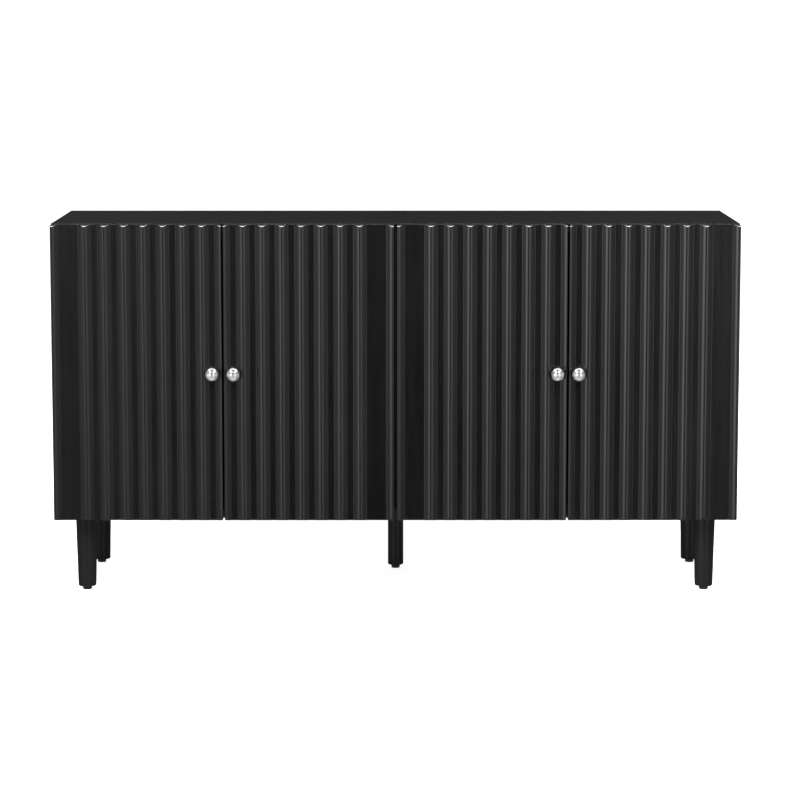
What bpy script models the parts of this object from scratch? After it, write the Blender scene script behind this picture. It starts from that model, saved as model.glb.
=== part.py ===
"""Sideboard buffet with four ribbed doors, as separate sub-parts. Metres, +Z up, its front faces -Y."""

import math

import bmesh
import bpy
from mathutils import Matrix, Vector

# Overall size
WIDTH = 1.520
HEIGHT = 0.828
DOOR_FRONT_Y = -0.187
BACK_Y = 0.213
FIT_GAP = 0.0003
OVERRUN = 0.001
SHARP_ANGLE = 35.0
ROUND_STEPS = 20
SMALL_STEPS = 10
FLAT_ANGLE = 0.001
ROD_SIDES = 12
WELD_DISTANCE = 1e-6
MERGE_DISTANCE = 1e-5

# Doors
DOOR_THICKNESS = 0.022
RIB_DEPTH = 0.007
RIB_PITCH = 0.043
RIB_HALF_WIDTH = 0.014
RIB_SEGMENTS = 8
FULL_RIBS = 7
BORDER_CREST = 0.003
BORDER_SEGMENTS = 3
EDGE_RADIUS = 0.0015
CENTRE_GAP = 0.006
PAIR_GAP = 0.004
DOOR_TOP_DROP = 0.001
DOOR_HEIGHT = 0.660
DOOR_TO_CARCASS = 0.003

# Carcass
PANEL = 0.018
BACK_THICKNESS = 0.004
BACK_INSET = 0.003
BACK_RECESS = 0.001
SHELF_THICKNESS = 0.015
SHELF_SETBACK = 0.027
SHELF_SIDE_GAP = 0.001
CARCASS_BOTTOM_Z = 0.169

# Shelf pins
PIN_RADIUS = 0.0024
PIN_HEAD_RADIUS = 0.0035
PIN_LENGTH = 0.008
PIN_HEAD_LENGTH = 0.010
PIN_ROW_PITCH = 0.032
PIN_ROWS = (-1, 0, 1)
PIN_INSET_Y = 0.050

# Knobs
KNOB_RADIUS = 0.01475
KNOB_PROJECTION = 0.033
KNOB_HEAD_HALF_DEPTH = 0.013
KNOB_NECK_RADIUS = 0.0045
KNOB_BASE_RADIUS = 0.0070
KNOB_BASE_HEIGHT = 0.002
KNOB_BASE_TOP_RADIUS = 0.00595
KNOB_NECK_Z = 0.003
KNOB_SCREW_RADIUS = 0.002
KNOB_SCREW_HEAD_RADIUS = 0.0042
KNOB_SCREW_HEAD = 0.0022
KNOB_SCREW_CROWN_RADIUS = 0.00294
KNOB_SCREW_SHOULDER = 0.00088
KNOB_SCREW_BITE = 0.009
KNOB_STEPS = 9

# Concealed hinges: u runs inwards from the door's hinge edge, v backwards from the door's front
AXIS_U = 0.008
AXIS_V = 0.005
HINGE_FROM_END = 0.100
CUP_U = 0.0225
CUP_RADIUS = 0.0175
CUP_DEPTH = 0.0113
CUP_WALL = 0.0008
CUP_RIM_RADIUS = 0.020
CUP_RIM = 0.001
WING_HALF_LENGTH = 0.032
WING_HALF_WIDTH = 0.008
WING_THICKNESS = 0.0008
WING_SEGMENTS = 8
ARM_HALF_HEIGHT = 0.0092
ARM_SHEET = 0.0012
ARM_WEB_U = 0.0342
ARM_NOSE_U = 0.025
ARM_NOSE_V = 0.014
ARM_NOSE_CHAMFER = 0.002
ARM_SHOULDER_V = 0.029
ARM_BODY_V = 0.042
ARM_REAR_V = 0.088
NOSE_PIN_U = 0.0300
NOSE_PIN_V = 0.0175
NOSE_PIN_RADIUS = 0.0016
RIVET_PROUD = 0.0004
PLATE_THICKNESS = 0.002
PLATE_SCREW_SETBACK = 0.037
PLATE_WING_HALF_LENGTH = 0.023
PLATE_WING_HALF_WIDTH = 0.007
PLATE_SPINE_HALF_HEIGHT = 0.006
PLATE_OVERHANG = 0.002

# Legs
LEG_TOP_RADIUS = 0.024
LEG_FOOT_RADIUS = 0.020
CENTRE_LEG_RADIUS = 0.018
LEG_FOOT_Z = 0.0085
LEG_FOOT_EASE = 0.0015
LEG_X = 0.694
FRONT_LEG_SETBACK = 0.060
REAR_LEG_INSET = 0.045
CENTRE_LEG_SETBACK = 0.290
LEG_PLATE_HALF = 0.028
LEG_PLATE_THICKNESS = 0.0025
STUD_RADIUS = 0.004
STUD_LENGTH = 0.022
GLIDE_RADIUS = 0.010
GLIDE_HEIGHT = 0.008
GLIDE_STEM_RADIUS = 0.003
GLIDE_STEM = 0.015
GLIDE_CHAMFER = 0.001
GLIDE_TOP_RADIUS = 0.008
GLIDE_SHOULDER_Z = 0.0048

# Cam lock recesses
CAM_RADIUS = 0.0075
CAM_SIDES = 16
CAM_DEPTH = 0.0125
CAM_SETBACK = 0.034
CAM_INSET_Y = 0.110

# Worked out from the sizes above
HALF_WIDTH = WIDTH / 2
DOOR_BACK_Y = DOOR_FRONT_Y + DOOR_THICKNESS
CARCASS_FRONT_Y = DOOR_BACK_Y + DOOR_TO_CARCASS
VALLEY_THICKNESS = DOOR_THICKNESS - RIB_DEPTH
DOOR_WIDTH = (WIDTH - CENTRE_GAP - 2 * PAIR_GAP) / 4
DOOR_MID_Z = HEIGHT - DOOR_TOP_DROP - DOOR_HEIGHT / 2
HINGE_HEIGHT = DOOR_HEIGHT / 2 - HINGE_FROM_END
PANEL_TOP_Z = HEIGHT - PANEL - FIT_GAP
REAR_EDGE_Y = BACK_Y - BACK_RECESS - BACK_THICKNESS - FIT_GAP
SIDE_INNER_X = HALF_WIDTH - PANEL
PARTITION_X = PANEL / 2
FLOOR_Z = CARCASS_BOTTOM_Z + PANEL
SHELF_LOW_Z = (FLOOR_Z + HEIGHT - PANEL - SHELF_THICKNESS) / 2
KNOB_U = DOOR_WIDTH - RIB_PITCH / 2
PLATE_V = DOOR_THICKNESS + DOOR_TO_CARCASS + PLATE_SCREW_SETBACK
SIDE_WALL_U = PANEL
PARTITION_WALL_U = PARTITION_X - CENTRE_GAP / 2
LEG_TOP_Z = CARCASS_BOTTOM_Z - 2 * FIT_GAP - LEG_PLATE_THICKNESS

# Each door: name, x of its hinge edge, direction along X to its free edge, and u of its hinge arms' wall
DOORS = (
    ("outer_left", -HALF_WIDTH, 1, SIDE_WALL_U),
    ("inner_left", -CENTRE_GAP / 2, -1, PARTITION_WALL_U),
    ("inner_right", CENTRE_GAP / 2, 1, PARTITION_WALL_U),
    ("outer_right", HALF_WIDTH, -1, SIDE_WALL_U),
)

# Each leg: name, and its centre in plan
LEGS = (
    ("front_left", (-LEG_X, DOOR_FRONT_Y + FRONT_LEG_SETBACK)),
    ("front_right", (LEG_X, DOOR_FRONT_Y + FRONT_LEG_SETBACK)),
    ("rear_left", (-LEG_X, BACK_Y - REAR_LEG_INSET)),
    ("rear_right", (LEG_X, BACK_Y - REAR_LEG_INSET)),
    ("centre", (0.0, DOOR_FRONT_Y + CENTRE_LEG_SETBACK)),
)


# Scene, collections and materials

def clear_scene():
    for obj in list(bpy.data.objects):
        bpy.data.objects.remove(obj, do_unlink=True)


def new_collection(name):
    collection = bpy.data.collections.new(name)
    bpy.context.scene.collection.children.link(collection)
    return collection


def new_material(name, colour, roughness, metallic):
    material = bpy.data.materials.new(name)
    material.use_nodes = True
    shader = material.node_tree.nodes["Principled BSDF"]
    shader.inputs["Base Color"].default_value = (*colour, 1.0)
    shader.inputs["Roughness"].default_value = roughness
    shader.inputs["Metallic"].default_value = metallic
    return material


clear_scene()
PARTS = new_collection("sideboard_buffet")
CUTTERS = new_collection("cutters")
BLACK_SATIN = new_material("black_satin", (0.011, 0.011, 0.012), 0.33, 0.0)
POLISHED_METAL = new_material("polished_metal", (0.80, 0.80, 0.81), 0.10, 1.0)
NICKEL_STEEL = new_material("nickel_steel", (0.62, 0.61, 0.59), 0.25, 1.0)
BLACK_PLASTIC = new_material("black_plastic", (0.020, 0.020, 0.021), 0.50, 0.0)


# Shapes

def baked_mesh(obj, smooth=False, whole_caps=False):
    """The object's mesh with its modifiers applied and its caps welded. The object is removed."""
    graph = bpy.context.evaluated_depsgraph_get()
    mesh = bpy.data.meshes.new_from_object(obj.evaluated_get(graph), depsgraph=graph)
    bpy.data.objects.remove(obj, do_unlink=True)
    cage = bmesh.new()
    cage.from_mesh(mesh)
    bmesh.ops.remove_doubles(cage, verts=cage.verts, dist=WELD_DISTANCE)
    if whole_caps:
        bmesh.ops.dissolve_limit(
            cage, angle_limit=FLAT_ANGLE, verts=cage.verts, edges=cage.edges
        )
    bmesh.ops.recalc_face_normals(cage, faces=cage.faces)
    cage.to_mesh(mesh)
    cage.free()
    if smooth:
        mesh.shade_smooth()
        mesh.set_sharp_from_angle(angle=math.radians(SHARP_ANGLE))
    return mesh


def place(name, mesh, material, location=(0, 0, 0), rotation=(0, 0, 0), parent=None):
    """A named sub-part that shows the mesh, in its parent's space if it has one."""
    obj = bpy.data.objects.new(name, mesh)
    PARTS.objects.link(obj)
    if material and not mesh.materials:
        mesh.materials.append(material)
    obj.location = location
    obj.rotation_euler = rotation
    obj.parent = parent
    return obj


def box(name, low, high, material):
    """A cuboid between two corners, with its origin at its centre."""
    low, high = Vector(low), Vector(high)
    bpy.ops.mesh.primitive_cube_add(size=1.0, location=(low + high) / 2)
    obj = bpy.context.object
    obj.data.transform(Matrix.Diagonal((*(high - low), 1.0)))
    obj.name = name
    obj.data.name = name
    obj.data.materials.append(material)
    for held_in in list(obj.users_collection):
        held_in.objects.unlink(obj)
    PARTS.objects.link(obj)
    return obj


def box_mesh(low, high):
    low, high = Vector(low), Vector(high)
    bpy.ops.mesh.primitive_cube_add(size=1.0)
    obj = bpy.context.object
    obj.data.transform(Matrix.Translation((low + high) / 2) @ Matrix.Diagonal((*(high - low), 1.0)))
    return baked_mesh(obj)


def rod_mesh(radius, length, sides=ROD_SIDES):
    """A cylinder that stands on the origin along +Z."""
    bpy.ops.mesh.primitive_cylinder_add(radius=radius, depth=length, vertices=sides)
    obj = bpy.context.object
    obj.data.transform(Matrix.Translation((0, 0, length / 2)))
    return baked_mesh(obj)


def turned_mesh(profile, steps):
    """A profile of (radius, height) points, from the top down its outer side, turned about Z."""
    mesh = bpy.data.meshes.new("profile")
    edges = [(i, i + 1) for i in range(len(profile) - 1)]
    mesh.from_pydata([(radius, 0.0, height) for radius, height in profile], edges, [])
    obj = place("profile", mesh, None)
    screw = obj.modifiers.new("turn", "SCREW")
    screw.axis = "Z"
    screw.steps = steps
    screw.render_steps = steps
    screw.use_merge_vertices = True
    screw.merge_threshold = MERGE_DISTANCE
    return baked_mesh(obj, smooth=True)


def outline_mesh(points, thickness):
    """A flat outline in XY, as thick as stated along Z and centred on Z = 0."""
    curve = bpy.data.curves.new("outline", "CURVE")
    curve.dimensions = "2D"
    curve.fill_mode = "BOTH"
    curve.extrude = thickness / 2
    spline = curve.splines.new("POLY")
    spline.points.add(len(points) - 1)
    for point, (x, y) in zip(spline.points, points):
        point.co = (x, y, 0.0, 1.0)
    spline.use_cyclic_u = True
    obj = bpy.data.objects.new("outline", curve)
    PARTS.objects.link(obj)
    return baked_mesh(obj, whole_caps=True)


def arc(centre, radius, start_deg, end_deg, segments):
    """Points on a circle from one angle to another, both ends included."""
    points = []
    for i in range(segments + 1):
        angle = math.radians(start_deg + (end_deg - start_deg) * i / segments)
        points.append((centre[0] + radius * math.cos(angle), centre[1] + radius * math.sin(angle)))
    return points


def boolean(target, tool, operation, solver="EXACT"):
    modifier = target.modifiers.new(tool.name, "BOOLEAN")
    modifier.operation = operation
    modifier.solver = solver
    modifier.object = tool


def combined(base, pieces):
    """The base mesh with each (operation, mesh, location) piece joined to it or cut from it, as one mesh."""
    body = place("body", base, None)
    tools = []
    for operation, mesh, location in pieces:
        tool = place("tool", mesh, None, location)
        boolean(body, tool, operation)
        tools.append(tool)
    bpy.context.view_layer.update()
    mesh = baked_mesh(body)
    for tool in tools:
        bpy.data.objects.remove(tool, do_unlink=True)
    return mesh


def drill(target, name, radius, depth, mouths, sides, solver="EXACT"):
    """Cuts round holes. A mouth is (position on the surface, direction into the material), in world
    space, or in the target's own space where the target is turned."""
    rod = rod_mesh(radius, depth + OVERRUN, sides)
    cage = bmesh.new()
    for position, direction in mouths:
        into = Vector(direction)
        turn = into.to_track_quat("Z", "Y").to_matrix().to_4x4()
        copy = rod.copy()
        copy.transform(Matrix.Translation(Vector(position) - into * OVERRUN) @ turn)
        cage.from_mesh(copy)
        bpy.data.meshes.remove(copy)
    mesh = bpy.data.meshes.new(name)
    cage.to_mesh(mesh)
    cage.free()
    tool = bpy.data.objects.new(name, mesh)
    CUTTERS.objects.link(tool)
    tool.hide_render = True
    tool.display_type = "WIRE"
    boolean(target, tool, "DIFFERENCE", solver)
    return tool


# Carcass

def carcass_panels():
    """The boards of the carcass, by name."""
    inner_x = SIDE_INNER_X - FIT_GAP
    rear = BACK_Y - BACK_RECESS
    boards = {
        "top_panel": (
            (-HALF_WIDTH, CARCASS_FRONT_Y, HEIGHT - PANEL),
            (HALF_WIDTH, BACK_Y, HEIGHT),
        ),
        "bottom_panel": (
            (-inner_x, CARCASS_FRONT_Y, CARCASS_BOTTOM_Z),
            (inner_x, REAR_EDGE_Y, FLOOR_Z),
        ),
        "centre_partition": (
            (-PARTITION_X, CARCASS_FRONT_Y, FLOOR_Z + FIT_GAP),
            (PARTITION_X, REAR_EDGE_Y, PANEL_TOP_Z),
        ),
        "left_side_panel": (
            (-HALF_WIDTH, CARCASS_FRONT_Y, CARCASS_BOTTOM_Z),
            (-SIDE_INNER_X, REAR_EDGE_Y, PANEL_TOP_Z),
        ),
        "right_side_panel": (
            (SIDE_INNER_X, CARCASS_FRONT_Y, CARCASS_BOTTOM_Z),
            (HALF_WIDTH, REAR_EDGE_Y, PANEL_TOP_Z),
        ),
        "left_back_panel": (
            (BACK_INSET - HALF_WIDTH, rear - BACK_THICKNESS, CARCASS_BOTTOM_Z + BACK_INSET),
            (-FIT_GAP, rear, PANEL_TOP_Z),
        ),
        "right_back_panel": (
            (FIT_GAP, rear - BACK_THICKNESS, CARCASS_BOTTOM_Z + BACK_INSET),
            (HALF_WIDTH - BACK_INSET, rear, PANEL_TOP_Z),
        ),
    }
    return {name: box(name, low, high, BLACK_SATIN) for name, (low, high) in boards.items()}


def shelf(name, low_x):
    """An adjustable board between a side panel and the partition."""
    width = SIDE_INNER_X - PARTITION_X - 2 * SHELF_SIDE_GAP
    box(
        name,
        (low_x, CARCASS_FRONT_Y + SHELF_SETBACK, SHELF_LOW_Z),
        (low_x + width, REAR_EDGE_Y - SHELF_SIDE_GAP, SHELF_LOW_Z + SHELF_THICKNESS),
        BLACK_SATIN,
    )


def shelf_pins(panels):
    """Four pins under each shelf, and the rows of holes that they can go in."""
    pin = turned_mesh(
        [
            (0.0, PIN_LENGTH),
            (PIN_RADIUS, PIN_LENGTH),
            (PIN_RADIUS, -FIT_GAP),
            (PIN_HEAD_RADIUS, -FIT_GAP),
            (PIN_HEAD_RADIUS, -PIN_HEAD_LENGTH),
            (0.0, -PIN_HEAD_LENGTH),
        ],
        SMALL_STEPS,
    )
    pin_z = SHELF_LOW_Z - PIN_HEAD_RADIUS - FIT_GAP
    depths = {
        "front": CARCASS_FRONT_Y + SHELF_SETBACK + PIN_INSET_Y,
        "rear": REAR_EDGE_Y - PIN_INSET_Y,
    }
    # Each wall face: the pin's name, its panel, the face's x, and the way into the panel along X
    faces = (
        ("left_outer", "left_side_panel", -SIDE_INNER_X, -1),
        ("left_inner", "centre_partition", -PARTITION_X, 1),
        ("right_inner", "centre_partition", PARTITION_X, -1),
        ("right_outer", "right_side_panel", SIDE_INNER_X, 1),
    )
    for face, panel, face_x, inward in faces:
        mouths = []
        for depth_name, y in depths.items():
            turn = (0, inward * math.pi / 2, 0)
            name = f"{face}_{depth_name}_shelf_pin"
            place(name, pin, NICKEL_STEEL, (face_x, y, pin_z), turn)
            for row in PIN_ROWS:
                mouths.append(((face_x, y, pin_z + row * PIN_ROW_PITCH), (inward, 0, 0)))
        hole = PIN_RADIUS + FIT_GAP
        drill(panels[panel], f"{face}_pin_holes", hole, PIN_LENGTH + FIT_GAP, mouths, SMALL_STEPS)


def cam_recesses(panels):
    """The round recesses for the cam locks that pull the boards together."""
    rows_y = (CARCASS_FRONT_Y + CAM_INSET_Y, REAR_EDGE_Y - CAM_INSET_Y)
    cam_z = PANEL_TOP_Z - CAM_SETBACK
    floor_x = SIDE_INNER_X - CAM_SETBACK
    mouths = {
        "left_side_panel": [((-SIDE_INNER_X, y, cam_z), (-1, 0, 0)) for y in rows_y],
        "right_side_panel": [((SIDE_INNER_X, y, cam_z), (1, 0, 0)) for y in rows_y],
        "centre_partition": [((-PARTITION_X, y, cam_z), (1, 0, 0)) for y in rows_y],
        "bottom_panel": [
            ((side * floor_x, y, CARCASS_BOTTOM_Z), (0, 0, 1)) for y in rows_y for side in (-1, 1)
        ],
    }
    for panel, places in mouths.items():
        drill(panels[panel], f"{panel}_cam_recesses", CAM_RADIUS, CAM_DEPTH, places, CAM_SIDES)


# Doors. A door's own space has its origin on its hinge axis at mid-height: x runs from the hinge edge
# to the free edge and y from front to back. A door that is hung on its right is turned half a turn
# about Y, because its shape is the same upside down.

def in_door(u, v, height=0.0):
    return (u - AXIS_U, v - AXIS_V, height)


def rib_curve(centre, start, end, segments):
    """Points of a round rib between two places across the door, as (u, v)."""
    radius = (RIB_HALF_WIDTH**2 + RIB_DEPTH**2) / (2 * RIB_DEPTH)
    points = []
    for i in range(segments + 1):
        u = start + (end - start) * i / segments
        points.append((u, radius - math.sqrt(radius**2 - (u - centre) ** 2)))
    return points


def door_outline():
    """The door's plan: a border at the hinge edge, a wide flat, the full ribs and half a rib."""
    half = RIB_SEGMENTS // 2
    points = [(0.0, DOOR_THICKNESS)]
    points += arc((BORDER_CREST, BORDER_CREST), BORDER_CREST, 180, 270, BORDER_SEGMENTS)
    points += rib_curve(BORDER_CREST, BORDER_CREST, BORDER_CREST + RIB_HALF_WIDTH, half)[1:]
    for i in range(FULL_RIBS, 0, -1):
        centre = DOOR_WIDTH - i * RIB_PITCH
        points += rib_curve(centre, centre - RIB_HALF_WIDTH, centre + RIB_HALF_WIDTH, RIB_SEGMENTS)
    points += rib_curve(DOOR_WIDTH, DOOR_WIDTH - RIB_HALF_WIDTH, DOOR_WIDTH - EDGE_RADIUS, half)
    points += [(DOOR_WIDTH, EDGE_RADIUS), (DOOR_WIDTH, DOOR_THICKNESS)]
    return [in_door(u, v)[:2] for u, v in points]


def knob_mesh():
    """A ball knob on a neck and a round base, with a blind hole for its screw. It stands on Z = 0."""
    centre = KNOB_PROJECTION - KNOB_HEAD_HALF_DEPTH
    neck_angle = math.pi - math.asin(KNOB_NECK_RADIUS / KNOB_RADIUS)
    profile = []
    for i in range(KNOB_STEPS + 1):
        angle = neck_angle * i / KNOB_STEPS
        height = centre + KNOB_HEAD_HALF_DEPTH * math.cos(angle)
        profile.append((KNOB_RADIUS * math.sin(angle), height))
    bore = KNOB_SCREW_RADIUS + FIT_GAP
    bore_end = KNOB_SCREW_BITE + FIT_GAP
    profile += [
        (KNOB_NECK_RADIUS, KNOB_NECK_Z),
        (KNOB_BASE_TOP_RADIUS, KNOB_BASE_HEIGHT),
        (KNOB_BASE_RADIUS, FIT_GAP),
        (bore, FIT_GAP),
        (bore, bore_end),
        (0.0, bore_end),
    ]
    return turned_mesh(profile, ROUND_STEPS)


def knob_screw_mesh():
    """A pan-head screw: its head rests on Z = 0 and its shank runs down."""
    shank = VALLEY_THICKNESS + KNOB_SCREW_BITE
    return turned_mesh(
        [
            (0.0, KNOB_SCREW_HEAD),
            (KNOB_SCREW_CROWN_RADIUS, KNOB_SCREW_HEAD),
            (KNOB_SCREW_HEAD_RADIUS, KNOB_SCREW_SHOULDER),
            (KNOB_SCREW_HEAD_RADIUS, 0.0),
            (KNOB_SCREW_RADIUS, 0.0),
            (KNOB_SCREW_RADIUS, -shank),
            (0.0, -shank),
        ],
        SMALL_STEPS,
    )


def hinge_cup_mesh():
    """A pressed cup with a round rim and two wings: the rim's underside is at Z = 0, the cup below."""
    outer = CUP_RADIUS - FIT_GAP
    inner = outer - CUP_WALL
    floor = FIT_GAP - CUP_DEPTH
    body = turned_mesh(
        [
            (0.0, floor + CUP_WALL),
            (inner, floor + CUP_WALL),
            (inner, CUP_RIM),
            (CUP_RIM_RADIUS, CUP_RIM),
            (CUP_RIM_RADIUS, 0.0),
            (outer, 0.0),
            (outer, floor),
            (0.0, floor),
        ],
        ROUND_STEPS,
    )
    ends = WING_HALF_LENGTH - WING_HALF_WIDTH
    overlap = (outer + CUP_RIM_RADIUS) / 2
    wing = arc((0, ends), WING_HALF_WIDTH, 0, 180, WING_SEGMENTS)
    wing += [(-WING_HALF_WIDTH, overlap), (WING_HALF_WIDTH, overlap)]
    upper = outline_mesh(wing, WING_THICKNESS)
    lower = upper.copy()
    lower.transform(Matrix.Rotation(math.pi, 4, "Z"))
    middle = (0, 0, CUP_RIM / 2)
    return combined(body, [("UNION", upper, middle), ("UNION", lower, middle)])


def door(name, hinge_x, side):
    """A door with its knob, its knob's screw and its two hinge cups."""
    panel = place(f"{name}_door", DOOR_MESH, BLACK_SATIN)
    panel.location = (hinge_x + side * AXIS_U, DOOR_FRONT_Y + AXIS_V, DOOR_MID_Z)
    panel.rotation_euler = (0, 0 if side > 0 else math.pi, 0)
    front = (math.pi / 2, 0, 0)
    back = (-math.pi / 2, 0, 0)
    place(f"{name}_knob", KNOB, POLISHED_METAL, in_door(KNOB_U, RIB_DEPTH), front, panel)
    screw_seat = in_door(KNOB_U, DOOR_THICKNESS + FIT_GAP)
    place(f"{name}_knob_screw", KNOB_SCREW, NICKEL_STEEL, screw_seat, back, panel)
    knob_hole = [(in_door(KNOB_U, DOOR_THICKNESS), (0, -1, 0))]
    recesses = []
    for level, height in (("lower", -HINGE_HEIGHT), ("upper", HINGE_HEIGHT)):
        seat = in_door(CUP_U, DOOR_THICKNESS + FIT_GAP, side * height)
        place(f"{name}_{level}_hinge_cup", CUP, NICKEL_STEEL, seat, back, panel)
        recesses.append((in_door(CUP_U, DOOR_THICKNESS, side * height), (0, -1, 0)))
    through = 2 * DOOR_THICKNESS
    knob_bore = KNOB_SCREW_RADIUS + FIT_GAP
    # The exact solver leaves the door open where the valleys' edges lie in one line.
    tools = (
        drill(panel, f"{name}_knob_hole", knob_bore, through, knob_hole, SMALL_STEPS, "MANIFOLD"),
        drill(panel, f"{name}_cup_recesses", CUP_RADIUS, CUP_DEPTH, recesses, ROUND_STEPS, "MANIFOLD"),
    )
    for tool in tools:
        tool.parent = panel


# Hinge arms, which stay on the carcass

def hinge_arm_mesh(wall_u):
    """A folded channel on a cross-shaped plate: u from the hinge edge, v from the door's front."""
    plate_top = wall_u + FIT_GAP + PLATE_THICKNESS
    foot_u = plate_top - PLATE_THICKNESS / 2
    cheek = [
        (ARM_NOSE_U, ARM_NOSE_V + ARM_NOSE_CHAMFER),
        (ARM_NOSE_U + ARM_NOSE_CHAMFER, ARM_NOSE_V),
        (ARM_WEB_U, ARM_NOSE_V),
        (ARM_WEB_U, ARM_REAR_V),
        (foot_u, ARM_REAR_V),
        (foot_u, ARM_BODY_V),
        (ARM_NOSE_U, ARM_SHOULDER_V),
    ]
    inner = ARM_HALF_HEIGHT - ARM_SHEET
    hollow = box_mesh((0, 0, -inner), (ARM_WEB_U - ARM_SHEET, 2 * ARM_REAR_V, inner))
    rivet_half = ARM_HALF_HEIGHT + RIVET_PROUD
    rivet = rod_mesh(NOSE_PIN_RADIUS, 2 * rivet_half)
    spine = box_mesh(
        (wall_u + FIT_GAP, ARM_BODY_V - PLATE_OVERHANG, -PLATE_SPINE_HALF_HEIGHT),
        (plate_top, ARM_REAR_V + PLATE_OVERHANG, PLATE_SPINE_HALF_HEIGHT),
    )
    # The wings are a little thinner than the spine, like a pressing.
    wings = box_mesh(
        (wall_u + FIT_GAP, PLATE_V - PLATE_WING_HALF_WIDTH, -PLATE_WING_HALF_LENGTH),
        (plate_top - FIT_GAP, PLATE_V + PLATE_WING_HALF_WIDTH, PLATE_WING_HALF_LENGTH),
    )
    origin = (0, 0, 0)
    return combined(
        outline_mesh(cheek, 2 * ARM_HALF_HEIGHT),
        [
            ("DIFFERENCE", hollow, origin),
            ("UNION", rivet, (NOSE_PIN_U, NOSE_PIN_V, -rivet_half)),
            ("UNION", spine, origin),
            ("UNION", wings, origin),
        ],
    )


def hinge_arms():
    meshes = {wall_u: hinge_arm_mesh(wall_u) for wall_u in (SIDE_WALL_U, PARTITION_WALL_U)}
    for name, hinge_x, side, wall_u in DOORS:
        turn = (0, 0 if side > 0 else math.pi, 0)
        for level, height in (("lower", -HINGE_HEIGHT), ("upper", HINGE_HEIGHT)):
            seat = (hinge_x, DOOR_FRONT_Y, DOOR_MID_Z + height)
            place(f"{name}_{level}_hinge_arm", meshes[wall_u], NICKEL_STEEL, seat, turn)


# Legs

def leg_mesh(top_radius, foot_radius):
    """A round leg with a stud hole in its top and a glide hole in its foot."""
    stud = STUD_RADIUS + FIT_GAP
    stem = GLIDE_STEM_RADIUS + FIT_GAP
    return turned_mesh(
        [
            (0.0, LEG_TOP_Z - STUD_LENGTH - FIT_GAP),
            (stud, LEG_TOP_Z - STUD_LENGTH - FIT_GAP),
            (stud, LEG_TOP_Z),
            (top_radius, LEG_TOP_Z),
            (foot_radius, LEG_FOOT_Z + LEG_FOOT_EASE),
            (foot_radius - LEG_FOOT_EASE, LEG_FOOT_Z),
            (stem, LEG_FOOT_Z),
            (stem, LEG_FOOT_Z + GLIDE_STEM),
            (0.0, LEG_FOOT_Z + GLIDE_STEM),
        ],
        ROUND_STEPS,
    )


def glide_mesh():
    """A round foot with a stem that goes into the leg."""
    return turned_mesh(
        [
            (0.0, GLIDE_HEIGHT + GLIDE_STEM),
            (GLIDE_STEM_RADIUS, GLIDE_HEIGHT + GLIDE_STEM),
            (GLIDE_STEM_RADIUS, GLIDE_HEIGHT),
            (GLIDE_TOP_RADIUS, GLIDE_HEIGHT),
            (GLIDE_RADIUS, GLIDE_SHOULDER_Z),
            (GLIDE_RADIUS, GLIDE_CHAMFER),
            (GLIDE_RADIUS - GLIDE_CHAMFER, 0.0),
            (0.0, 0.0),
        ],
        SMALL_STEPS,
    )


def leg_mount_mesh():
    """A square plate under the bottom board with a stud that runs down into the leg."""
    half = LEG_PLATE_HALF
    plate = box_mesh((-half, -half, 0), (half, half, LEG_PLATE_THICKNESS))
    drop = STUD_LENGTH + FIT_GAP
    stud = rod_mesh(STUD_RADIUS, drop + LEG_PLATE_THICKNESS / 2)
    return combined(plate, [("UNION", stud, (0, 0, -drop))])


def legs():
    corner = leg_mesh(LEG_TOP_RADIUS, LEG_FOOT_RADIUS)
    middle = leg_mesh(CENTRE_LEG_RADIUS, CENTRE_LEG_RADIUS)
    glide = glide_mesh()
    mount = leg_mount_mesh()
    for name, (x, y) in LEGS:
        place(f"{name}_leg", middle if name == "centre" else corner, BLACK_SATIN, (x, y, 0))
        place(f"{name}_leg_mount", mount, NICKEL_STEEL, (x, y, LEG_TOP_Z + FIT_GAP))
        place(f"{name}_glide", glide, BLACK_PLASTIC, (x, y, 0))


# Assembly

DOOR_MESH = outline_mesh(door_outline(), DOOR_HEIGHT)
KNOB = knob_mesh()
KNOB_SCREW = knob_screw_mesh()
CUP = hinge_cup_mesh()

carcass = carcass_panels()
shelf("left_shelf", SHELF_SIDE_GAP - SIDE_INNER_X)
shelf("right_shelf", PARTITION_X + SHELF_SIDE_GAP)
shelf_pins(carcass)
cam_recesses(carcass)
for door_name, edge_x, direction, _ in DOORS:
    door(door_name, edge_x, direction)
hinge_arms()
legs()
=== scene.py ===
import math

import bmesh
import bpy
from mathutils import Matrix, Vector

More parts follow.
